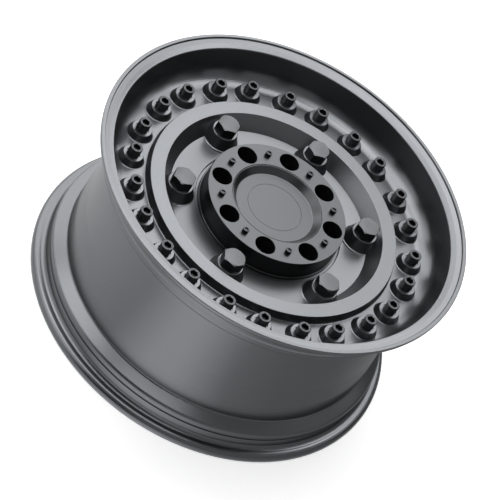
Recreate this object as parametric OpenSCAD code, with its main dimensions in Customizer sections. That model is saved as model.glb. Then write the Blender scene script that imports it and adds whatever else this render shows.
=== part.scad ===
// Alloy wheel, 20 x 9.5 inch, eight holes on 170 mm.
// A one-piece casting with a full face: a raised hub drum, a ring and a channel,
// dressed with cap screws, hex bolts, pins and a dished centre cap.
// The origin is the centre of the hub bore in the mounting face. +Z is the street side.

/* [Rim] */
// Diameter at the bead seats
bead_d = 512.8; // [505:0.1:520]
// Height of the rim flanges above the bead seats
flange_h = 17.3; // [14:0.1:20]
// Width of the rim between its flanges
rim_w = 241.3; // [230:0.1:255]
// Thickness of each flange, along the axis
flange_t = 12; // [10:0.5:14]
// Distance of the mounting face from the middle of the rim, street side positive
wheel_offset = 12; // [5:0.5:20]
// Diameter of the well
well_d = 470; // [462:1:476]
// Wall of the barrel
barrel_wall = 4.5; // [4:0.5:8]

/* [Front lip] */
// Diameter of the step in the lip
step_d = 536; // [530:0.5:538]
// Depth of that step
step_t = 2.8; // [1:0.1:4]
// Diameter of the inner edge of the lip
lip_d = 504.6; // [500:0.2:508]
// Fall of the lip from the foot of the step to its inner edge
lip_drop = 4.2; // [3:0.1:7]
// Draft of the wall inside the lip
lip_draft = 15; // [10:1:20]

/* [Channel] */
// Height of the channel floor above the mounting face
channel_h = 65.2; // [62:0.1:67]
// Radius between the channel floor and the lip wall
channel_r = 26; // [20:1:28]
// Thickness of the casting behind the channel
channel_wall = 12; // [11:0.5:16]

/* [Ring] */
// Height of the ring above the mounting face
ring_h = 78.5; // [75:0.1:81]
// Outer diameter of the ring
ring_od = 371; // [366:0.5:376]
// Inner diameter of the ring at its top
ring_id = 328; // [322:0.5:334]
// Diameter of the inner face of the ring at its foot
ring_foot_d = 297; // [290:0.5:304]

/* [Inner floor] */
// Height of the inner floor at the foot of the ring
floor_h = 57.7; // [55:0.1:60]
// Fall of the inner floor towards the drum
floor_drop = 2.4; // [1:0.1:4]
// Thickness of the casting behind the inner floor
floor_wall = 14; // [12:0.5:18]

/* [Drum] */
// Height of the drum above the mounting face
drum_h = 85.5; // [82:0.1:90]
// Diameter of the drum at its top
drum_d = 207.4; // [205:0.2:210]
// Width of the groove round the foot of the drum
moat_w = 3.6; // [2:0.2:5]
// Diameter of the hub bore
hub_bore_d = 125.1; // [120:0.1:127]
// Diameter of the mounting face
pad_d = 218; // [214:1:224]

/* [Lug holes] */
// Number of lug holes
lug_n = 8; // [5:1:8]
// Pitch circle of the lug holes
lug_pcd = 170; // [168.5:0.1:171]
// Diameter of the lug pockets
lug_pocket_d = 29.6; // [28:0.2:30.4]
// Depth of the wide part of the lug pockets
lug_pocket_t = 25; // [20:0.5:30]
// Diameter of the lug holes in the mounting face
lug_hole_d = 16; // [14.5:0.5:17]
// Height of the foot of the cone seats above the mounting face
lug_seat_h = 11; // [9:0.5:16]

/* [Cap screws] */
// Number of pairs of cap screws in the channel
screw_pairs = 12; // [6:1:12]
// Pitch circle of the cap screws
screw_pcd = 422; // [418:0.5:426]
// Angle between the two screws of a pair
screw_pair_a = 15.8; // [14.4:0.1:16.6]
// Height of the screw bosses above the channel floor
screw_boss_h = 10.2; // [8:0.2:12]
// Diameter of the screw bosses at their foot
screw_boss_d = 37; // [34:0.5:39]
// Diameter of the screw bosses at their top
screw_boss_top_d = 30; // [28:0.5:32]
// Thread diameter of the cap screws
screw_d = 12; // [10:0.5:14]
// Head diameter of the cap screws
screw_head_d = 18; // [16:0.5:19]
// Head height of the cap screws
screw_head_h = 15.2; // [12:0.2:18]
// Key size of the sockets
screw_key = 10; // [8:0.5:11]
// Thread length of the cap screws
screw_len = 18; // [14:0.5:20]
// Depth of the counterbore round each head
screw_bore_t = 1.8; // [1:0.1:3]

/* [Hex bolts] */
// Number of hex bolts round the drum
bolt_n = 6; // [4:1:6]
// Pitch circle of the hex bolts
bolt_pcd = 278; // [275:0.5:281]
// Height of the bolt bosses above the mounting face
bolt_boss_top = 74.5; // [71:0.1:77]
// Diameter of the bolt bosses at their foot
bolt_boss_d = 49; // [46:0.5:51]
// Diameter of the bolt bosses at their top
bolt_boss_top_d = 37.4; // [36:0.2:40]
// Thread diameter of the hex bolts
bolt_d = 20; // [16:0.5:22]
// Width across the flats of the hex heads
bolt_flats = 29.6; // [27:0.2:30.4]
// Height of the hex heads
bolt_head_h = 14.8; // [12:0.2:16]
// Thread length of the hex bolts
bolt_len = 26; // [20:0.5:28]

/* [Hub pins] */
// Diameter of the small pins between the lug holes
pin_d = 9; // [7:0.2:10]
// Height of the pins above the drum
pin_out = 5.6; // [4:0.2:7]
// Length of the pins inside the drum
pin_in = 14; // [10:0.5:18]
// Diameter of the dimple in each pin
pin_dimple_d = 5.6; // [4:0.2:6]

/* [Centre cap] */
// Diameter of the cap
cap_d = 134.6; // [133:0.1:136]
// Diameter of the dished floor of the cap
cap_floor_d = 114.6; // [110:0.2:118]
// Depth of the dished floor below the drum
cap_dish = 9.8; // [8:0.1:11]
// Depth of the cap seat below the drum
cap_seat_t = 14.4; // [14:0.1:17]
// Diameter of the plain disc set in the cap
emblem_d = 80.6; // [76:0.2:86]
// Thickness of that disc
emblem_t = 1.4; // [1:0.1:1.8]
// Number of snap legs on the cap
leg_n = 8; // [4:1:10]
// Length of the snap legs below the cap seat
leg_len = 22; // [18:0.5:26]
// Wall of the snap legs
leg_t = 2.6; // [2:0.1:3.2]
// Wire diameter of the spring ring inside the legs
wire_d = 2.5; // [2:0.1:3]

/* [Valve] */
// Diameter of the valve hole
valve_d = 11.3; // [10.5:0.1:12]

/* [Hidden] */
$fn = 96;

// Clearances
hole_clear = 0.1;
cap_clear = 0.3;
emblem_clear = 0.3;
head_clear = 0.5;
// How far a cut runs past the face that it opens
over = 1;
// Width of a small broken edge
edge_break = 0.4;

// Rim, as radii and heights above the mounting face
bead_r = bead_d / 2;
flange_r = bead_r + flange_h;
well_r = well_d / 2;
rim_mid = -wheel_offset;
front_bead_z = rim_mid + rim_w / 2;
back_bead_z = rim_mid - rim_w / 2;
front_z = front_bead_z + flange_t;
back_z = back_bead_z - flange_t;
edge_r = 1.5;
back_face_w = 12.5;
back_face_fall = 0.6;
back_mouth_r = 8;
back_mouth_turn = 58;
flange_round = 9.5;
bead_round = 6.5;
seat_taper = 5;
hump_step_w = 4.4;
hump_round = 6;
ramp_foot_round = 3;
front_seat_w = 18;
front_hump_h = 0.85;
front_crest_w = 7;
front_ramp_turn = 45;
front_band_r = well_r + 4;
front_band_w = 12;
front_step_w = 3.5;
back_seat_w = 15;
back_hump_h = 1.2;
back_crest_w = 7.65;
back_ramp_turn = 62;
back_band_r = well_r + 2.6;
back_band_w = 32;
back_slope_w = 34;
seat_wall = 5.9;
well_in_r = well_r - barrel_wall;
seat_in_r = seat_end_r(back_seat_w) - seat_wall;
front_foot_z = front_bead_z
    - foot_w(front_seat_w, front_hump_h, front_crest_w, front_ramp_turn, front_band_r);
back_foot_z = back_bead_z
    + foot_w(back_seat_w, back_hump_h, back_crest_w, back_ramp_turn, back_band_r);

// Front lip and channel
lip_r = lip_d / 2;
step_r = step_d / 2;
step_w = 0.9;
lip_sag = 0.42;
lip_crown = 0.6;
lip_outer_z = front_z - step_t;
lip_inner_z = lip_outer_z - lip_drop;
lip_mid_r = (step_r + lip_r) / 2;
lip_mid_z = lip_outer_z - lip_drop * lip_sag;
lip_edge_r = 2.5;
wall_top_r = lip_r + lip_edge_r * (1 - cos(lip_draft));
wall_top_z = lip_inner_z + lip_crown - lip_edge_r * (1 - sin(lip_draft));
bend_z = channel_h + channel_r;
bend_start_z = bend_z - channel_r * sin(lip_draft);
bend_start_r = wall_top_r - (wall_top_z - bend_start_z) * tan(lip_draft);
bend_r = bend_start_r - channel_r * cos(lip_draft);

// Ring and inner floor
ring_or = ring_od / 2;
ring_ir = ring_id / 2;
ring_foot_r = ring_foot_d / 2;
ring_edge = 0.8;
ring_draft = 8;
foot_fillet = 2;
ring_or_foot = ring_or + (ring_h - channel_h) * tan(ring_draft);

// Drum
drum_r = drum_d / 2;
drum_draft = 1.9;
bead_low = 0.5;
drum_foot_z = floor_h - bead_low;
drum_foot_r = drum_r + (drum_h - drum_foot_z) * tan(drum_draft);
bead_ring_w = 1.7;
moat_in_r = drum_foot_r + bead_ring_w;
moat_out_r = moat_in_r + moat_w;
moat_t = 2.6;
moat_edge_w = 0.8;
moat_edge_t = 0.6;
moat_floor_z = floor_h - floor_drop - moat_t;
floor_edge_r = moat_out_r + moat_edge_w;
drum_edge = 0.8;
bore_r = hub_bore_d / 2;
bore_chamfer = 2;
pad_r = pad_d / 2;
pad_draft = 9;
pad_break = 1;

// Back of the face
floor_back_z = floor_h - floor_drop - floor_wall;
channel_back_z = channel_h - channel_wall;
hub_fillet = 12;
barrel_fillet = 14;
floor_back_r = ring_foot_r + 4;
channel_back_r = ring_or - 2;
pad_foot_r = pad_r + (floor_back_z - hub_fillet) * tan(pad_draft);
pocket_roof_z = ring_h - 12;
pocket_in_r = ring_foot_r + 1.5;
pocket_roof_in_r = ring_ir - 1;
pocket_roof_out_r = ring_or - 11.5;
pocket_out_r = ring_or - 9.5;
pocket_wall_h = 4;
rib_n = 12;
rib_w = 15;

// Centre cap
cap_r = cap_d / 2;
cap_bore_r = cap_r + cap_clear;
cap_seat_z = drum_h - cap_seat_t;
cap_top_z = drum_h - cap_clear;
cap_skin = 1.8;
cap_web_in = 0.5;
cap_web_w = 3.5;
cap_rim_w = 1.2;
cap_rim_edge = 0.6;
cap_foot_w = 0.8;
cap_floor_r = cap_floor_d / 2;
cap_floor_z = drum_h - cap_dish;
cap_under_z = cap_floor_z - emblem_t - cap_skin;
leg_out_r = bore_r - 0.8;
leg_in_r = leg_out_r - leg_t;
leg_foot_z = cap_seat_z - leg_len;
leg_angle = 360 / leg_n * 0.5;
hook_out = 1.5;
hook_h = 4;
hook_edge = 1.2;
snap_clear = 0.5;
snap_r = leg_out_r + hook_out + snap_clear;
snap_top_z = leg_foot_z + hook_h + snap_clear;
snap_foot_z = leg_foot_z - hook_edge;
wire_r = wire_d / 2;
emblem_edge = 0.3;
wire_ledge_w = 1.8;
wire_ledge_z = leg_foot_z + 2;

// Screws, bolts and pins
screw_r = screw_d / 2;
screw_head_r = screw_head_d / 2;
screw_bore_r = screw_head_r + 1.2;
screw_tip = 1;
socket_edge = 0.6;
socket_edge_out = 0.4;
boss_top_z = channel_h + screw_boss_h;
screw_seat_z = boss_top_z - screw_bore_t;
screw_chamfer = 1.2;
screw_socket_t = 8;
screw_fillet = 1.8;
boss_edge = 0.8;
boss_root = 4;
bolt_r = bolt_d / 2;
bolt_foot_z = floor_h - floor_drop * (ring_foot_r - bolt_pcd / 2) / (ring_foot_r - floor_edge_r);
bolt_turns = [32, 41, 55, 56, 32, 29];
bolt_fillet = 2.5;
bolt_tilt = 30;
bolt_cone_r = bolt_flats / 2 - 0.4;
pin_r = pin_d / 2;
pin_edge = 0.5;
pin_dimple_t = 1.6;

// Lug holes
lug_r = lug_pcd / 2;
lug_pocket_r = lug_pocket_d / 2;
lug_ledge = 1;
lug_seat_r = lug_pocket_r - lug_ledge - 0.6;
lug_cone = 30;
lug_hole_r = lug_hole_d / 2;
lug_seat_top = lug_seat_h + (lug_seat_r - lug_hole_r) / tan(lug_cone);
pillar_r = lug_pocket_r + 6.5;
pillar_draft = 2;
core_in_r = bore_r + 7.5;
core_out_r = pad_r - 8;
core_draft = 2.5;
core_t = 34;

// Valve hole, square to the bend under the lip wall, in line with the second hex bolt
valve_a = 360 / bolt_n;
valve_tilt = 30;
valve_r = bend_r + channel_r * cos(valve_tilt);
valve_z = bend_z - channel_r * sin(valve_tilt);
valve_reach = 16;

// Points along an arc about c in the profile's plane
function arc(c, r, a0, a1, n = 6) =
    [for (i = [0 : n]) let (a = a0 + (a1 - a0) * i / n) c + r * [cos(a), sin(a)]];

// Radius where a bead seat of width w ends
function seat_end_r(w) = bead_r - w * tan(seat_taper);

// Distance from the bead to the foot of the ramp behind its hump
function foot_w(w, h, crest_w, turn, foot_r) =
    w + hump_step_w + crest_w + (seat_end_r(w) + h - foot_r) / tan(turn);

// Hump of height h behind a seat of width w, and its ramp down to foot_r, inwards from the
// flange on the side that s points to
function hump(bead_z, s, w, h, crest_w, turn, foot_r) =
    let (crest_r = seat_end_r(w) + h,
         crest_end = w + hump_step_w + crest_w - hump_round * tan(turn / 2),
         foot = foot_w(w, h, crest_w, turn, foot_r) + ramp_foot_round * tan(turn / 2))
    concat(
        [for (i = [0 : 4])
            [seat_end_r(w) + h * (1 - cos(45 * i)) / 2, bead_z + s * (w + hump_step_w * i / 4)]],
        arc([crest_r - hump_round, bead_z + s * crest_end], hump_round, 0, s * turn, 4),
        arc([foot_r + ramp_foot_round, bead_z + s * foot], ramp_foot_round, 180 + s * turn, 180, 3));

// Turned profile of the flange's outer side, from its edge to the foot of the ramp
function front_flange() = concat(
    [[flange_r, front_z - edge_r]],
    arc([flange_r - flange_round, front_bead_z + flange_round], flange_round, 0, -90),
    arc([bead_r + bead_round, front_bead_z - bead_round], bead_round, 90, 180),
    hump(front_bead_z, -1, front_seat_w, front_hump_h, front_crest_w, front_ramp_turn, front_band_r));

function back_flange() = concat(
    [[flange_r, back_z + edge_r]],
    arc([flange_r - flange_round, back_bead_z - flange_round], flange_round, 0, 90),
    arc([bead_r + bead_round, back_bead_z + bead_round], bead_round, -90, -180),
    hump(back_bead_z, 1, back_seat_w, back_hump_h, back_crest_w, back_ramp_turn, back_band_r));

function reversed(p) = [for (i = [len(p) - 1 : -1 : 0]) p[i]];

// Street side, from the flange's edge to the cap seat
function face_profile() = concat(
    arc([flange_r - edge_r, front_z - edge_r], edge_r, 0, 90, 4),
    [[step_r + edge_break, front_z],
     [step_r, front_z - edge_break],
     [step_r - step_w, lip_outer_z],
     [lip_mid_r, lip_mid_z]],
    arc([lip_r + lip_edge_r, lip_inner_z - lip_edge_r + lip_crown], lip_edge_r, 80, 180 - lip_draft, 4),
    arc([bend_r, bend_z], channel_r, -lip_draft, -90, 12),
    arc([ring_or_foot + foot_fillet, channel_h + foot_fillet], foot_fillet, -90, -180 + ring_draft, 5),
    arc([ring_or - ring_edge, ring_h - ring_edge], ring_edge, ring_draft, 90, 3),
    arc([ring_ir + ring_edge, ring_h - ring_edge], ring_edge, 90, 140, 3),
    [[ring_foot_r, floor_h],
     [floor_edge_r, floor_h - floor_drop],
     [moat_out_r, floor_h - floor_drop - moat_edge_t],
     [moat_out_r, moat_floor_z],
     [moat_in_r, moat_floor_z],
     [moat_in_r, drum_foot_z - edge_break],
     [moat_in_r - edge_break, drum_foot_z],
     [drum_foot_r, drum_foot_z]],
    arc([drum_r - drum_edge, drum_h - drum_edge], drum_edge, 0, 90, 3),
    [[cap_bore_r + edge_break, drum_h],
     [cap_bore_r, drum_h - edge_break],
     [cap_bore_r, cap_seat_z]]);

// Height at which the inside of the back ramp, one wall behind its outside, has the radius r
function inner_ramp_z(r) =
    back_foot_z - (r - back_band_r) / tan(back_ramp_turn) - barrel_wall / sin(back_ramp_turn);

// Vehicle side, from the hub bore to the back flange
function back_profile() = concat(
    [[bore_r, cap_seat_z],
     [bore_r, snap_top_z + snap_r - bore_r],
     [snap_r, snap_top_z],
     [snap_r, snap_foot_z],
     [bore_r, snap_foot_z - snap_r + bore_r],
     [bore_r, bore_chamfer],
     [bore_r + bore_chamfer, 0],
     [pad_r - pad_break, 0],
     [pad_r, pad_break]],
    arc([pad_foot_r + hub_fillet, floor_back_z - hub_fillet], hub_fillet, 180, 90, 6),
    [[floor_back_r, floor_back_z],
     [channel_back_r, channel_back_z]],
    arc([well_in_r - barrel_fillet, channel_back_z - barrel_fillet], barrel_fillet, 90, 0, 8),
    [[well_in_r, inner_ramp_z(well_in_r)],
     [seat_in_r, inner_ramp_z(seat_in_r)],
     [seat_in_r, back_bead_z]],
    arc([seat_in_r + back_mouth_r, back_bead_z], back_mouth_r, 180, 180 + back_mouth_turn, 4),
    [[flange_r - back_face_w - edge_r, back_z + back_face_fall],
     [flange_r - back_face_w, back_z]],
    arc([flange_r - edge_r, back_z + edge_r], edge_r, -90, 0, 4));

// Tyre side, from the back flange to the front flange
function tyre_profile() = concat(
    back_flange(),
    [[back_band_r, back_foot_z + back_band_w],
     [well_r, back_foot_z + back_band_w + back_slope_w],
     [well_r, front_foot_z - front_band_w - front_step_w],
     [front_band_r, front_foot_z - front_band_w]],
    reversed(front_flange()));

module around(n, r, start = 0) {
    for (i = [0 : n - 1])
        rotate(start + 360 / n * i) translate([r, 0, 0]) children();
}

module at_screws() {
    for (s = [-1, 1])
        around(screw_pairs, screw_pcd / 2, s * screw_pair_a / 2) children();
}

module at_bolts() around(bolt_n, bolt_pcd / 2) children();

// Cast boss with a fillet round its foot and a broken edge at its top
module boss(foot_z, top_z, foot_r, top_r, fillet) {
    rotate_extrude()
        polygon(concat(
            [[0, foot_z - boss_root], [foot_r + fillet, foot_z - boss_root]],
            arc([foot_r + fillet, foot_z + fillet], fillet, -90, -165, 4),
            [[top_r, top_z - boss_edge], [top_r - boss_edge, top_z], [0, top_z]]));
}

module screw_bosses()
    at_screws()
        boss(channel_h, boss_top_z, screw_boss_d / 2, screw_boss_top_d / 2, screw_fillet);

module bolt_bosses()
    at_bolts()
        boss(bolt_foot_z, bolt_boss_top, bolt_boss_d / 2, bolt_boss_top_d / 2, bolt_fillet);

// Blind hole with a counterbore for one cap screw
module screw_hole() {
    translate([0, 0, screw_seat_z - screw_len - over])
        cylinder(r = screw_r + hole_clear, h = screw_len + 2 * over);
    translate([0, 0, screw_seat_z])
        cylinder(r = screw_bore_r, h = screw_bore_t + over);
}

// Blind hole for one hex bolt, with room round its head where a boss meets the ring
module bolt_hole() {
    translate([0, 0, bolt_boss_top - bolt_len - over])
        cylinder(r = bolt_r + hole_clear, h = bolt_len + 2 * over);
    translate([0, 0, bolt_boss_top])
        cylinder(r = bolt_boss_top_d / 2 + head_clear, h = bolt_head_h + over);
}

module pin_hole()
    translate([0, 0, drum_h - pin_in])
        cylinder(r = pin_r + hole_clear, h = pin_in + over);

// Stepped pocket, cone seat and clear hole for one lug nut
module lug_hole() {
    rotate_extrude()
        polygon([
            [0, -over],
            [lug_hole_r, -over],
            [lug_hole_r, lug_seat_h],
            [lug_seat_r, lug_seat_top],
            [lug_pocket_r - lug_ledge, lug_seat_top],
            [lug_pocket_r - lug_ledge, drum_h - lug_pocket_t],
            [lug_pocket_r, drum_h - lug_pocket_t],
            [lug_pocket_r, drum_h - edge_break],
            [lug_pocket_r + edge_break, drum_h],
            [lug_pocket_r + edge_break, drum_h + over],
            [0, drum_h + over]]);
}

// Cored pockets between the lug holes, open at the mounting face
module hub_cores() {
    difference() {
        rotate_extrude()
            polygon([
                [core_in_r, -over],
                [core_out_r, -over],
                [core_out_r - core_draft, core_t],
                [core_in_r + core_draft, core_t]]);
        around(lug_n, lug_r)
            translate([0, 0, -2 * over])
                cylinder(r1 = pillar_r, r2 = pillar_r + pillar_draft, h = core_t + 3 * over);
    }
}

// Cored pockets behind the ring, with ribs between them
module ring_cores() {
    difference() {
        rotate_extrude()
            polygon([
                [pocket_in_r, floor_back_z - over],
                [pocket_out_r, floor_back_z - over],
                [pocket_out_r, channel_back_z],
                [pocket_roof_out_r, pocket_roof_z],
                [pocket_roof_in_r, pocket_roof_z],
                [pocket_in_r, floor_back_z + pocket_wall_h]]);
        for (i = [0 : rib_n - 1])
            rotate(360 / rib_n * i)
                translate([pocket_in_r - over, -rib_w / 2, floor_back_z - 2 * over])
                    cube([pocket_out_r - pocket_in_r + 2 * over, rib_w,
                          pocket_roof_z - floor_back_z + 3 * over]);
    }
}

module valve_hole()
    rotate(valve_a)
        translate([valve_r, 0, valve_z])
            rotate([0, 90 + valve_tilt, 0])
                translate([0, 0, -valve_reach]) cylinder(d = valve_d, h = 2 * valve_reach);

module wheel_casting() color("dimgray")
    difference() {
        union() {
            rotate_extrude($fn = 180)
                polygon(concat(face_profile(), back_profile(), tyre_profile()));
            screw_bosses();
            bolt_bosses();
        }
        at_screws() screw_hole();
        at_bolts() bolt_hole();
        around(lug_n, lug_r) lug_hole();
        around(lug_n, lug_r, 180 / lug_n) pin_hole();
        hub_cores();
        ring_cores();
        valve_hole();
    }

// One snap leg with its hook outside and the wire's ledge inside
module cap_leg()
    rotate([0, 0, -leg_angle / 2])
        rotate_extrude(angle = leg_angle)
            polygon([
                [leg_in_r, cap_seat_z + over],
                [leg_out_r, cap_seat_z + over],
                [leg_out_r, leg_foot_z + hook_h + hook_out],
                [leg_out_r + hook_out, leg_foot_z + hook_h],
                [leg_out_r + hook_out, leg_foot_z + hook_h - hook_edge],
                [leg_out_r, leg_foot_z],
                [leg_in_r - wire_ledge_w, leg_foot_z],
                [leg_in_r - wire_ledge_w, wire_ledge_z],
                [leg_in_r, wire_ledge_z]]);

module center_cap() color("dimgray") {
    rotate_extrude($fn = 180)
        polygon([
            [0, cap_under_z],
            [leg_in_r - cap_web_in - cap_web_w, cap_under_z],
            [leg_in_r - cap_web_in, cap_seat_z],
            [cap_r, cap_seat_z],
            [cap_r, cap_top_z - cap_rim_edge],
            [cap_r - cap_rim_edge, cap_top_z],
            [cap_r - cap_rim_w, cap_top_z - cap_rim_edge / 3],
            [cap_floor_r + cap_foot_w, cap_floor_z + cap_rim_edge / 2],
            [cap_floor_r - cap_rim_edge, cap_floor_z],
            [emblem_d / 2 + emblem_clear, cap_floor_z],
            [emblem_d / 2 + emblem_clear, cap_floor_z - emblem_t],
            [0, cap_floor_z - emblem_t]]);
    for (i = [0 : leg_n - 1])
        rotate(360 / leg_n * (i + 0.5)) cap_leg();
}

module cap_emblem() color("gray")
    translate([0, 0, cap_floor_z - emblem_t]) {
        cylinder(d = emblem_d, h = emblem_t - emblem_edge);
        cylinder(d = emblem_d - 2 * emblem_edge, h = emblem_t);
    }

module cap_spring_ring() color("silver")
    translate([0, 0, wire_ledge_z + wire_r])
        rotate_extrude() translate([leg_in_r - wire_r, 0]) circle(r = wire_r, $fn = 24);

// Socket-head cap screw, turned body and hex socket
module cap_screw() {
    top_z = screw_seat_z + screw_head_h;
    socket_corner_r = screw_key / 2 / cos(30);
    difference() {
        rotate_extrude()
            polygon([
                [0, screw_seat_z - screw_len],
                [screw_r - screw_tip, screw_seat_z - screw_len],
                [screw_r, screw_seat_z - screw_len + screw_tip],
                [screw_r, screw_seat_z],
                [screw_head_r, screw_seat_z],
                [screw_head_r, top_z - screw_chamfer],
                [screw_head_r - screw_chamfer, top_z],
                [0, top_z]]);
        translate([0, 0, top_z - screw_socket_t])
            cylinder(r = socket_corner_r, h = screw_socket_t + over, $fn = 6);
        translate([0, 0, top_z - socket_edge])
            cylinder(r1 = screw_key / 2, r2 = socket_corner_r + socket_edge_out, h = socket_edge + 0.1);
    }
}

module cap_screws() color("dimgray") at_screws() cap_screw();

// Hex bolt with a turned chamfer on its head
module hex_bolt(turn) {
    top_z = bolt_boss_top + bolt_head_h;
    corner_r = bolt_flats / 2 / cos(30);
    chamfer_t = (corner_r - bolt_cone_r) * tan(bolt_tilt);
    intersection() {
        rotate(turn) translate([0, 0, bolt_boss_top])
            cylinder(r = corner_r, h = bolt_head_h, $fn = 6);
        rotate_extrude()
            polygon([
                [0, bolt_boss_top],
                [corner_r + over, bolt_boss_top],
                [corner_r + over, top_z - chamfer_t - over * tan(bolt_tilt)],
                [bolt_cone_r, top_z],
                [0, top_z]]);
    }
    translate([0, 0, bolt_boss_top - bolt_len]) cylinder(r = bolt_r, h = bolt_len + bolt_head_h / 2);
}

module hex_bolts() color("dimgray")
    for (i = [0 : bolt_n - 1])
        rotate(360 / bolt_n * i) translate([bolt_pcd / 2, 0, 0])
            hex_bolt(bolt_turns[i % len(bolt_turns)]);

// Small pin with a dimple in its end
module hub_pin() {
    top_z = drum_h + pin_out;
    rotate_extrude()
        polygon([
            [0, drum_h - pin_in],
            [pin_r, drum_h - pin_in],
            [pin_r, top_z - pin_edge],
            [pin_r - pin_edge, top_z],
            [pin_dimple_d / 2, top_z],
            [pin_dimple_d / 2, top_z - pin_dimple_t],
            [0, top_z - pin_dimple_t]]);
}

module hub_pins() color("dimgray")
    around(lug_n, lug_r, 180 / lug_n) hub_pin();

wheel_casting();
center_cap();
cap_emblem();
cap_spring_ring();
cap_screws();
hex_bolts();
hub_pins();
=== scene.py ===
"""Alloy wheel: finishes, fine detail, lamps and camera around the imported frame."""
import math

import bmesh
import bpy
from mathutils import Matrix, Vector


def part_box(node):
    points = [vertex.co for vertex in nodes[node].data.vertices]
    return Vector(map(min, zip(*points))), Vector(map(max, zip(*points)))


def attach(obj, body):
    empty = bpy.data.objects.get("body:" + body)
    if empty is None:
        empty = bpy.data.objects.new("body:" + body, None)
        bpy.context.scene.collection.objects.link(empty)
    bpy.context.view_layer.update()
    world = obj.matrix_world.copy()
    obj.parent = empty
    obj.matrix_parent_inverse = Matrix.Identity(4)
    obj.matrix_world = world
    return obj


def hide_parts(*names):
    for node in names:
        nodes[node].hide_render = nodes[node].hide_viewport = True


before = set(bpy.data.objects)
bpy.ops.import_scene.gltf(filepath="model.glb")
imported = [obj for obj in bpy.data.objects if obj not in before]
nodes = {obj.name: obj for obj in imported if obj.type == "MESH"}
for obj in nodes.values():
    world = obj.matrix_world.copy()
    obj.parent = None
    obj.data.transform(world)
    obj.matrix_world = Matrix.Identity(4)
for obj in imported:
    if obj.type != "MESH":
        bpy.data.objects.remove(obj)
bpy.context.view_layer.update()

# Lengths are in metres and angles in degrees. Azimuths start at +X, elevations at the floor.

# Cap screws: their circle, head, socket and shank
SCREW_PAIRS = 12
SCREW_CIRCLE_R = 0.211
SCREW_PAIR_ANGLE = 15.8
SCREW_SEAT_Z = 0.0736
SCREW_HEAD_H = 0.0152
SCREW_HEAD_R = 0.009
SCREW_FOOT_INSET = 0.0002
SCREW_RIM_W = 0.0011
SCREW_RIM_STEPS = 4
SCREW_KEY = 0.010
SCREW_SOCKET_T = 0.008
SOCKET_CHAMFER = 0.0004
SOCKET_CHAMFER_SLOPE = 0.5
SOCKET_DRILL_T = 0.0015
SCREW_SHANK_R = 0.006
SCREW_SHANK_LEN = 0.018
SCREW_SHANK_POINTS = 24
SCREW_PITCH = 0.00175

# Knurl of the cap screws: upright ribs, cut across by grooves into bands
KNURL_RIBS = 24
KNURL_DEPTH = 0.0006
KNURL_BANDS = 5
KNURL_GROOVE_W = 0.0009
KNURL_SLOPE_W = 0.0003
KNURL_FOOT_W = 0.0006
KNURL_TOP_W = 0.0005

# Hex bolts: their circle, head and shank, and how far each is turned from its own azimuth
BOLT_CIRCLE_R = 0.139
BOLT_SEAT_Z = 0.0745
BOLT_HEAD_H = 0.0148
BOLT_FLATS = 0.0296
BOLT_FACE_R = 0.0144
BOLT_CHAMFER = 30
BOLT_EDGE = 0.0003
BOLT_HEAD_POINTS = 96
BOLT_SHANK_R = 0.010
BOLT_SHANK_LEN = 0.026
BOLT_SHANK_POINTS = 36
BOLT_PITCH = 0.0025
BOLT_TURNS = (32, 41, 55, 56, 32, 29)

# Depth of a thread, as a share of its pitch
THREAD_DEPTH = 0.6

# Angles between faces over which an edge is shaded sharp
SCREW_CREASE = 32
BOLT_CREASE = 20

# Finishes
GUNMETAL = (0.233, 0.241, 0.254, 1)
HUB_GREY = (0.136, 0.140, 0.146, 1)
BOLT_GREY = (0.138, 0.142, 0.148, 1)
SCREW_GREY = (0.100, 0.103, 0.109, 1)
WIRE_STEEL = (0.45, 0.45, 0.46, 1)
SATIN_METALLIC = 0.96
SATIN_ROUGHNESS = 0.30
ROUGHNESS_CHANGE = 0.05
CLOUD_SCALE = 9.0
CLOUD_DETAIL = 2.0
GRAIN_SCALE = 900.0
GRAIN_DETAIL = 3.0
GRAIN_CONTRAST = 0.16
GRAIN_RELIEF = 0.00002
GRAIN_STRENGTH = 0.5

# Painted shade: in the wheel's own reflections each finish shows with only this share of its colour
REFLECTION_SHADE_SHARE = 0.25

# The hub drum takes the darker grey: inside this radius and above this height
HUB_ZONE_R = 0.1076
HUB_ZONE_Z = 0.0560

# Places of the colours among the sockets of a Mix node
MIX_A = 6
MIX_B = 7
MIX_RESULT = 2

# Floor: white paper just under the wheel's foot, and its glow near the wheel and far off
FOOT_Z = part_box("wheel_casting")[0][2]
FLOOR_GAP = 0.0001
FLOOR_HALF = 40.0
PAPER_WHITE = (0.9, 0.9, 0.9, 1)
PAPER_ROUGHNESS = 0.9
NEAR_GLOW = 0.6
NEAR_R = 1.5
FAR_GLOW = 0.8
FAR_R = 4.0

# Card beside the wheel, a glowing sheet that paints light and dark reflections into the wheel: its
# glow at each azimuth, its radii and how it fades out
CARD_STOPS = (
    (-20, 0.68), (45, 0.76), (70, 0.68), (95, 0.53), (115, 0.98), (127, 0.98),
    (150, 0.38), (170, 0.28), (200, 0.22), (237, 0.31), (262, 0.43), (300, 0.68),
)
CARD_STEP = 5
CARD_INNER_R = 0.275
CARD_EDGE_R = 0.62
CARD_OUTER_R = 1.6
CARD_FADE_STEPS = 8
CARD_END_FADE = 35
CARD_LIFT = 0.002

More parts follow.
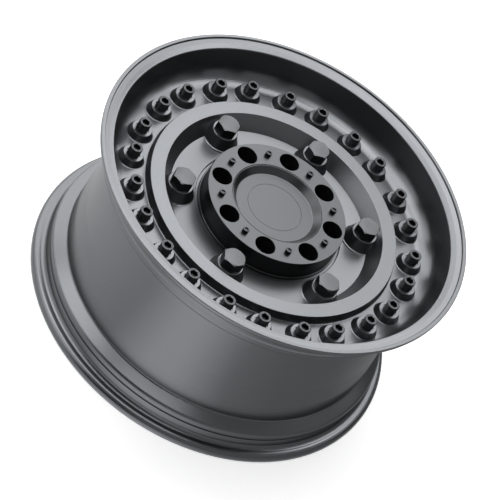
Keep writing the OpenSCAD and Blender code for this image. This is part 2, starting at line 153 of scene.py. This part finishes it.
# Softboxes: azimuth and its span, elevation and its span, and brightness
LAMP_DISTANCE = 2.2
LAMP_CENTRE = Vector((0, 0, 0.05))
SOFTBOXES = (
    ("right_low", -60, 40, 16, 32, 2.0),
    ("middle_low", -10, 60, 16, 32, 1.6),
    ("left_low", 50, 60, 16, 32, 0.7),
    ("far_right_high", -70, 20, 48, 32, 1.5),
    ("right_high", -50, 20, 48, 32, 2.1),
    ("middle_high", -10, 60, 48, 32, 1.6),
    ("left_high", 40, 40, 48, 32, 1.8),
    ("far_left_high", 70, 20, 48, 32, 1.2),
    ("top_right", -80, 40, 74, 20, 2.4),
    ("top_middle_right", -40, 40, 74, 20, 2.1),
    ("top_middle", 0, 40, 74, 20, 2.1),
    ("top_middle_left", 40, 40, 74, 20, 2.1),
    ("top_back", 122, 90, 76, 24, 1.9),
    ("side_low", -98, 34, 31, 20, 0.7),
    ("side_high", -98, 34, 52, 24, 2.5),
    ("back_fill", 180, 110, 32, 64, 0.2),
)
ROOM_GREY = (0.01, 0.01, 0.01, 1)

# Camera, as the photograph shows the wheel
VIEW_AZIMUTH = 122.04
VIEW_ELEVATION = 43.61
VIEW_ROLL = 34.96
VIEW_DISTANCE = 3.4462
VIEW_CENTRE = Vector((-0.01454, 0.01236, 0.0))
LENS_MM = 178.99
SENSOR_MM = 36.0

BLACK = (0, 0, 0, 1)
WHITE = (1, 1, 1, 1)


def direction(azimuth, elevation):
    """Unit vector towards an azimuth and an elevation"""
    a = math.radians(azimuth)
    e = math.radians(elevation)
    return Vector((math.cos(e) * math.cos(a), math.cos(e) * math.sin(a), math.sin(e)))


def around(radius, azimuth):
    """X and Y of a point at a radius and an azimuth"""
    a = math.radians(azimuth)
    return radius * math.cos(a), radius * math.sin(a)


def aimed(obj, back, roll=0.0):
    """Turn an object so that its local +Z points along back, then roll it about that line"""
    turn = back.to_track_quat("Z", "Y").to_matrix().to_4x4()
    rolled = turn @ Matrix.Rotation(math.radians(roll), 4, "Z")
    obj.matrix_world = Matrix.Translation(obj.location) @ rolled


def put(name, data):
    """Make an object of a mesh, lamp or camera and put it in the scene"""
    obj = bpy.data.objects.new(name, data)
    bpy.context.scene.collection.objects.link(obj)
    return obj


# Shader nodes

def feed(tree, into, value):
    """Give an input a plain value, or link it to another node's output"""
    if isinstance(value, bpy.types.NodeSocket):
        tree.links.new(value, into)
    else:
        into.default_value = value


def maths(tree, operation, *values):
    """Result of one Math node"""
    n = tree.nodes.new("ShaderNodeMath")
    n.operation = operation
    for into, value in zip(n.inputs, values):
        feed(tree, into, value)
    return n.outputs[0]


def length_of(tree, vector):
    n = tree.nodes.new("ShaderNodeVectorMath")
    n.operation = "LENGTH"
    feed(tree, n.inputs[0], vector)
    return n.outputs["Value"]


def dimmed(tree, colour, factor):
    """A colour times a number"""
    n = tree.nodes.new("ShaderNodeVectorMath")
    n.operation = "SCALE"
    feed(tree, n.inputs[0], colour)
    feed(tree, n.inputs["Scale"], factor)
    return n.outputs[0]


def noise(tree, point, scale, detail):
    n = tree.nodes.new("ShaderNodeTexNoise")
    feed(tree, n.inputs["Vector"], point)
    feed(tree, n.inputs["Scale"], scale)
    feed(tree, n.inputs["Detail"], detail)
    return n.outputs["Fac"]


def point_on_piece(tree):
    """The shaded point in the piece's own coordinates"""
    return tree.nodes.new("ShaderNodeTexCoord").outputs["Object"]


def new_material(name):
    """A material with its node tree and its shader"""
    m = bpy.data.materials.new(name)
    m.use_nodes = True
    return m, m.node_tree, m.node_tree.nodes["Principled BSDF"]


# Finishes

def grain_input(group, name, value):
    kind = "NodeSocketColor" if name == "Colour" else "NodeSocketFloat"
    socket = group.interface.new_socket(name=name, in_out="INPUT", socket_type=kind)
    socket.default_value = value


def sprayed_grain():
    """Fine sprayed grain: a colour, a roughness and a height that vary over the surface"""
    group = bpy.data.node_groups.new("sprayed_grain", "ShaderNodeTree")
    grain_input(group, "Colour", GUNMETAL)
    grain_input(group, "Grain Scale", GRAIN_SCALE)
    grain_input(group, "Colour Change", GRAIN_CONTRAST)
    grain_input(group, "Roughness", SATIN_ROUGHNESS)
    grain_input(group, "Roughness Change", ROUGHNESS_CHANGE)
    group.interface.new_socket(name="Colour", in_out="OUTPUT", socket_type="NodeSocketColor")
    group.interface.new_socket(name="Roughness", in_out="OUTPUT", socket_type="NodeSocketFloat")
    group.interface.new_socket(name="Height", in_out="OUTPUT", socket_type="NodeSocketFloat")
    come = group.nodes.new("NodeGroupInput").outputs
    go = group.nodes.new("NodeGroupOutput").inputs
    point = point_on_piece(group)
    grain = noise(group, point, come["Grain Scale"], GRAIN_DETAIL)
    speckle = maths(group, "SUBTRACT", grain, 0.5)
    share = maths(group, "MULTIPLY_ADD", speckle, come["Colour Change"], 1.0)
    feed(group, go["Colour"], dimmed(group, come["Colour"], share))
    cloud = noise(group, point, CLOUD_SCALE, CLOUD_DETAIL)
    drift = maths(group, "SUBTRACT", cloud, 0.5)
    rough = maths(group, "MULTIPLY_ADD", drift, come["Roughness Change"], come["Roughness"])
    feed(group, go["Roughness"], rough)
    feed(group, go["Height"], grain)
    return group


GRAIN = sprayed_grain()


def satin(name, colour):
    """Satin metal finish, with painted shade in its own reflections; its colour is a plain one, or
    a function that makes it in the tree
    """
    m, tree, shader = new_material(name)
    shader.inputs["Metallic"].default_value = SATIN_METALLIC
    grain = tree.nodes.new("ShaderNodeGroup")
    grain.node_tree = GRAIN
    feed(tree, grain.inputs["Colour"], colour(tree) if callable(colour) else colour)
    grain.inputs["Grain Scale"].default_value = GRAIN_SCALE
    grain.inputs["Colour Change"].default_value = GRAIN_CONTRAST
    grain.inputs["Roughness"].default_value = SATIN_ROUGHNESS
    grain.inputs["Roughness Change"].default_value = ROUGHNESS_CHANGE
    # Painted shade: where a glossy ray sees the finish, its colour is dimmed to the reflection
    # share
    ray = tree.nodes.new("ShaderNodeLightPath")
    reflection_shade = maths(tree, "MULTIPLY_ADD", ray.outputs["Is Glossy Ray"], REFLECTION_SHADE_SHARE - 1, 1.0)
    feed(tree, shader.inputs["Base Color"], dimmed(tree, grain.outputs["Colour"], reflection_shade))
    feed(tree, shader.inputs["Roughness"], grain.outputs["Roughness"])
    relief = tree.nodes.new("ShaderNodeBump")
    relief.inputs["Distance"].default_value = GRAIN_RELIEF
    relief.inputs["Strength"].default_value = GRAIN_STRENGTH
    feed(tree, relief.inputs["Height"], grain.outputs["Height"])
    feed(tree, shader.inputs["Normal"], relief.outputs["Normal"])
    return m


def casting_colour(tree):
    """Gunmetal, and the darker grey on the hub drum"""
    apart = tree.nodes.new("ShaderNodeSeparateXYZ")
    feed(tree, apart.inputs[0], point_on_piece(tree))
    flat = tree.nodes.new("ShaderNodeCombineXYZ")
    feed(tree, flat.inputs["X"], apart.outputs["X"])
    feed(tree, flat.inputs["Y"], apart.outputs["Y"])
    inside = maths(tree, "LESS_THAN", length_of(tree, flat.outputs[0]), HUB_ZONE_R)
    above = maths(tree, "GREATER_THAN", apart.outputs["Z"], HUB_ZONE_Z)
    mix = tree.nodes.new("ShaderNodeMix")
    mix.data_type = "RGBA"
    feed(tree, mix.inputs["Factor"], maths(tree, "MULTIPLY", inside, above))
    mix.inputs[MIX_A].default_value = GUNMETAL
    mix.inputs[MIX_B].default_value = HUB_GREY
    return mix.outputs[MIX_RESULT]


def dress(node, material):
    """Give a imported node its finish"""
    mesh = nodes[node].data
    mesh.materials.clear()
    mesh.materials.append(material)


# Turned pieces, ring by ring from the bottom to the top

def ring(bm, centre, count, radius, height):
    """A closed ring of points; radius and height are numbers or functions of the angle"""
    points = []
    for i in range(count):
        angle = 360.0 * i / count
        x, y = around(radius(angle) if callable(radius) else radius, angle)
        z = height(angle) if callable(height) else height
        points.append(bm.verts.new((centre[0] + x, centre[1] + y, z)))
    return points


def skin(bm, rings):
    """Faces from each ring to the next"""
    for lower, upper in zip(rings, rings[1:]):
        for i in range(len(lower)):
            j = (i + 1) % len(lower)
            bm.faces.new((lower[i], lower[j], upper[j], upper[i]))


def close(bm, points, centre, height, up):
    """Close a ring with a fan to a point on its axis"""
    tip = bm.verts.new((centre[0], centre[1], height))
    for i in range(len(points)):
        j = (i + 1) % len(points)
        corners = (points[i], points[j], tip) if up else (points[j], points[i], tip)
        bm.faces.new(corners)


def turned(bm, centre, count, profile, foot, top):
    """Skin a list of (radius, height) rings and close its ends at the heights foot and top"""
    rings = [ring(bm, centre, count, radius, height) for radius, height in profile]
    skin(bm, rings)
    close(bm, rings[-1], centre, top, True)
    close(bm, rings[0], centre, foot, False)


def shank(bm, centre, count, seat, length, radius, pitch):
    """Threaded shank under a head, with one groove for each turn"""
    depth = THREAD_DEPTH * pitch
    foot = seat - length
    profile = [(radius - depth, foot)]
    z = foot + depth
    while z + pitch < seat - pitch:
        profile += [(radius, z), (radius - depth, z + pitch / 2)]
        z += pitch
    profile += [(radius, z), (radius, seat)]
    turned(bm, centre, count, profile, foot, seat)


def corner_r(flats):
    """Radius at the corners of a hexagon"""
    return flats / 2 / math.cos(math.radians(30))


def hexagon(flats, turn=0.0):
    """Radius of a hexagon's outline as a function of the angle"""
    def radius(angle):
        from_flat = (angle - turn + 30.0) % 60.0 - 30.0
        return flats / 2 / math.cos(math.radians(from_flat))
    return radius


def knurl(root, foot, top):
    """Profile of the knurl: bands of ribs with a groove over each"""
    def ribbed(angle):
        return SCREW_HEAD_R if round(angle / 360.0 * 2 * KNURL_RIBS) % 2 else root

    band = (top - foot) / KNURL_BANDS
    profile = []
    for i in range(KNURL_BANDS):
        low = foot + band * i
        high = low + band - KNURL_GROOVE_W
        profile += [(root, low), (ribbed, low + KNURL_SLOPE_W)]
        profile += [(ribbed, high - KNURL_SLOPE_W), (root, high)]
    profile.append((root, top))
    return profile


def cap_screw(bm, centre):
    """Socket-head cap screw with a grid knurl round its head"""
    top = SCREW_SEAT_Z + SCREW_HEAD_H
    root = SCREW_HEAD_R - KNURL_DEPTH
    profile = [(root - SCREW_FOOT_INSET, SCREW_SEAT_Z)]
    profile += knurl(root, SCREW_SEAT_Z + KNURL_FOOT_W, top - SCREW_RIM_W - KNURL_TOP_W)
    for i in range(SCREW_RIM_STEPS + 1):
        t = math.radians(90.0 * i / SCREW_RIM_STEPS)
        inward = SCREW_RIM_W * (1 - math.cos(t))
        down = SCREW_RIM_W * (1 - math.sin(t))
        profile.append((SCREW_HEAD_R - inward, top - down))
    key = hexagon(SCREW_KEY)
    mouth = corner_r(SCREW_KEY) + SOCKET_CHAMFER
    profile.append((mouth, top))
    profile.append((key, lambda angle: top - (mouth - key(angle)) * SOCKET_CHAMFER_SLOPE))
    profile.append((key, top - SCREW_SOCKET_T))
    drill_point = top - SCREW_SOCKET_T - SOCKET_DRILL_T
    turned(bm, centre, 2 * KNURL_RIBS, profile, SCREW_SEAT_Z, drill_point)
    shank(bm, centre, SCREW_SHANK_POINTS, SCREW_SEAT_Z, SCREW_SHANK_LEN, SCREW_SHANK_R, SCREW_PITCH)


def hex_bolt(bm, centre, turn):
    """Hex bolt with a turned chamfer and broken edges"""
    top = BOLT_SEAT_Z + BOLT_HEAD_H
    slope = math.tan(math.radians(BOLT_CHAMFER))
    flat = hexagon(BOLT_FLATS, turn)
    corner = corner_r(BOLT_FLATS) - BOLT_EDGE

    def side(inset):
        return lambda angle: min(flat(angle), corner) - inset

    def shoulder(drop):
        return lambda angle: top - (min(flat(angle), corner) - BOLT_FACE_R) * slope - drop

    profile = [
        (side(BOLT_EDGE), BOLT_SEAT_Z),
        (side(0), BOLT_SEAT_Z + BOLT_EDGE),
        (side(0), shoulder(BOLT_EDGE)),
        (side(BOLT_EDGE / 2), shoulder(0)),
        (BOLT_FACE_R + BOLT_EDGE / 2, top - BOLT_EDGE / 3),
        (BOLT_FACE_R - BOLT_EDGE, top),
    ]
    turned(bm, centre, BOLT_HEAD_POINTS, profile, BOLT_SEAT_Z, top)
    shank(bm, centre, BOLT_SHANK_POINTS, BOLT_SEAT_Z, BOLT_SHANK_LEN, BOLT_SHANK_R, BOLT_PITCH)


def fastener(name, bm, material, node, crease):
    """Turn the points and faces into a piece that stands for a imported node"""
    mesh = bpy.data.meshes.new(name)
    bm.to_mesh(mesh)
    bm.free()
    mesh.shade_smooth()
    mesh.set_sharp_from_angle(angle=math.radians(crease))
    mesh.materials.append(material)
    obj = put(name, mesh)
    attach(obj, "root")
    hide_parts(node)


def knurled_cap_screws():
    bm = bmesh.new()
    for side in (-1, 1):
        for i in range(SCREW_PAIRS):
            azimuth = side * SCREW_PAIR_ANGLE / 2 + 360 / SCREW_PAIRS * i
            cap_screw(bm, around(SCREW_CIRCLE_R, azimuth))
    grey = satin("satin_screw_grey", SCREW_GREY)
    fastener("knurled_cap_screws", bm, grey, "cap_screws", SCREW_CREASE)


def chamfered_hex_bolts():
    bm = bmesh.new()
    for i, turn in enumerate(BOLT_TURNS):
        azimuth = 360 / len(BOLT_TURNS) * i
        hex_bolt(bm, around(BOLT_CIRCLE_R, azimuth), azimuth + turn)
    grey = satin("satin_bolt_grey", BOLT_GREY)
    fastener("chamfered_hex_bolts", bm, grey, "hex_bolts", BOLT_CREASE)


# Stage: floor, card, lamps and camera

def paper_finish():
    """White paper that shows as white to the camera and in reflections, and keeps the shadow"""
    m, tree, shader = new_material("white_paper")
    shader.inputs["Base Color"].default_value = PAPER_WHITE
    shader.inputs["Roughness"].default_value = PAPER_ROUGHNESS
    shader.inputs["Specular IOR Level"].default_value = 0.0
    shader.inputs["Emission Color"].default_value = WHITE
    ray = tree.nodes.new("ShaderNodeLightPath").outputs
    seen = maths(tree, "MAXIMUM", ray["Is Camera Ray"], ray["Is Glossy Ray"])
    seen = maths(tree, "MAXIMUM", seen, ray["Is Transmission Ray"])
    rise = tree.nodes.new("ShaderNodeMapRange")
    feed(tree, rise.inputs["Value"], length_of(tree, point_on_piece(tree)))
    rise.inputs["From Min"].default_value = NEAR_R
    rise.inputs["From Max"].default_value = FAR_R
    rise.inputs["To Min"].default_value = NEAR_GLOW
    rise.inputs["To Max"].default_value = FAR_GLOW
    glow = maths(tree, "MULTIPLY", seen, rise.outputs["Result"])
    feed(tree, shader.inputs["Emission Strength"], glow)
    return m


def plain_floor():
    """One large sheet of paper under the wheel"""
    mesh = bpy.data.meshes.new("floor")
    r = FLOOR_HALF
    z = FOOT_Z - FLOOR_GAP
    mesh.from_pydata([(-r, -r, z), (r, -r, z), (r, r, z), (-r, r, z)], [], [(0, 1, 2, 3)])
    mesh.materials.append(paper_finish())
    put("floor", mesh)


def card_shade(azimuth):
    """Brightness of the card at an azimuth, straight from one stop to the next"""
    for (a, here), (b, there) in zip(CARD_STOPS, CARD_STOPS[1:]):
        if a <= azimuth <= b:
            return here + (there - here) * (azimuth - a) / (b - a)
    return CARD_STOPS[-1][1]


def eased(x):
    """Soft start and end between 0 and 1"""
    x = min(max(x, 0.0), 1.0)
    return x * x * (3 - 2 * x)


def card_cover(azimuth, radius):
    """How solid the card is: it fades out towards its ends and its outer edge"""
    ends = min(azimuth - CARD_STOPS[0][0], CARD_STOPS[-1][0] - azimuth)
    outward = (CARD_OUTER_R - radius) / (CARD_OUTER_R - CARD_EDGE_R)
    return eased(ends / CARD_END_FADE) * eased(outward)


def painted_reflection_glow():
    """A glow that follows the card's shade, and an opacity that follows its cover"""
    m, tree, shader = new_material("painted_reflection_card")
    shader.inputs["Base Color"].default_value = BLACK
    shader.inputs["Specular IOR Level"].default_value = 0.0
    shader.inputs["Emission Color"].default_value = WHITE
    for name, into in (("shade", "Emission Strength"), ("cover", "Alpha")):
        read = tree.nodes.new("ShaderNodeAttribute")
        read.attribute_name = name
        feed(tree, shader.inputs[into], read.outputs["Fac"])
    return m


def painted_reflection_card():
    """A glowing card beside the wheel that only its reflections see: painted reflections, lighter
    and darker by azimuth
    """
    bm = bmesh.new()
    shade = bm.verts.layers.float.new("shade")
    cover = bm.verts.layers.float.new("cover")
    radii = [CARD_INNER_R]
    for i in range(CARD_FADE_STEPS + 1):
        radii.append(CARD_EDGE_R + (CARD_OUTER_R - CARD_EDGE_R) * i / CARD_FADE_STEPS)
    rows = []
    for azimuth in range(CARD_STOPS[0][0], CARD_STOPS[-1][0] + 1, CARD_STEP):
        row = []
        for radius in radii:
            v = bm.verts.new((*around(radius, azimuth), FOOT_Z + CARD_LIFT))
            v[shade] = card_shade(azimuth)
            v[cover] = card_cover(azimuth, radius)
            row.append(v)
        rows.append(row)
    for here, there in zip(rows, rows[1:]):
        for i in range(len(radii) - 1):
            bm.faces.new((here[i], here[i + 1], there[i + 1], there[i]))
    mesh = bpy.data.meshes.new("painted_reflection_sheet")
    bm.to_mesh(mesh)
    bm.free()
    mesh.materials.append(painted_reflection_glow())
    card = put("painted_reflection_sheet", mesh)
    # Painted reflection: the card glows only for reflections and casts no shadow
    card.visible_camera = False
    card.visible_diffuse = False
    card.visible_shadow = False


def softbox(name, azimuth, wide, elevation, high, brightness):
    """A one-sided panel that faces the wheel; its brightness is that of the panel itself"""
    lamp = bpy.data.lights.new(name, "AREA")
    lamp.shape = "RECTANGLE"
    full_width = 2 * LAMP_DISTANCE * math.tan(math.radians(wide / 2))
    lamp.size = full_width * math.cos(math.radians(elevation))
    lamp.size_y = 2 * LAMP_DISTANCE * math.tan(math.radians(high / 2))
    lamp.energy = brightness * math.pi * lamp.size * lamp.size_y
    obj = put(name, lamp)
    out = direction(azimuth, elevation)
    obj.location = LAMP_CENTRE + out * LAMP_DISTANCE
    aimed(obj, out)
    obj.visible_camera = False


def dim_room():
    """The faint light from outside the softboxes"""
    room = bpy.data.worlds.new("studio")
    room.use_nodes = True
    room.node_tree.nodes["Background"].inputs["Color"].default_value = ROOM_GREY
    bpy.context.scene.world = room


def photo_camera():
    lens = bpy.data.cameras.new("camera")
    lens.lens = LENS_MM
    lens.sensor_width = SENSOR_MM
    camera = put("camera", lens)
    back = direction(VIEW_AZIMUTH, VIEW_ELEVATION)
    camera.location = VIEW_CENTRE + back * VIEW_DISTANCE
    aimed(camera, back, VIEW_ROLL)
    bpy.context.scene.camera = camera


hub_satin = satin("satin_hub_grey", HUB_GREY)
dress("wheel_casting", satin("satin_gunmetal", casting_colour))
dress("center_cap", hub_satin)
dress("cap_emblem", hub_satin)
dress("hub_pins", satin("satin_pins", SCREW_GREY))
dress("cap_spring_ring", satin("drawn_wire", WIRE_STEEL))
dress("cap_screws", satin("hidden_screws", SCREW_GREY))
dress("hex_bolts", satin("hidden_bolts", BOLT_GREY))
knurled_cap_screws()
chamfered_hex_bolts()

plain_floor()
painted_reflection_card()
for box in SOFTBOXES:
    softbox(*box)
dim_room()
photo_camera()
bpy.context.scene.view_settings.view_transform = "Standard"
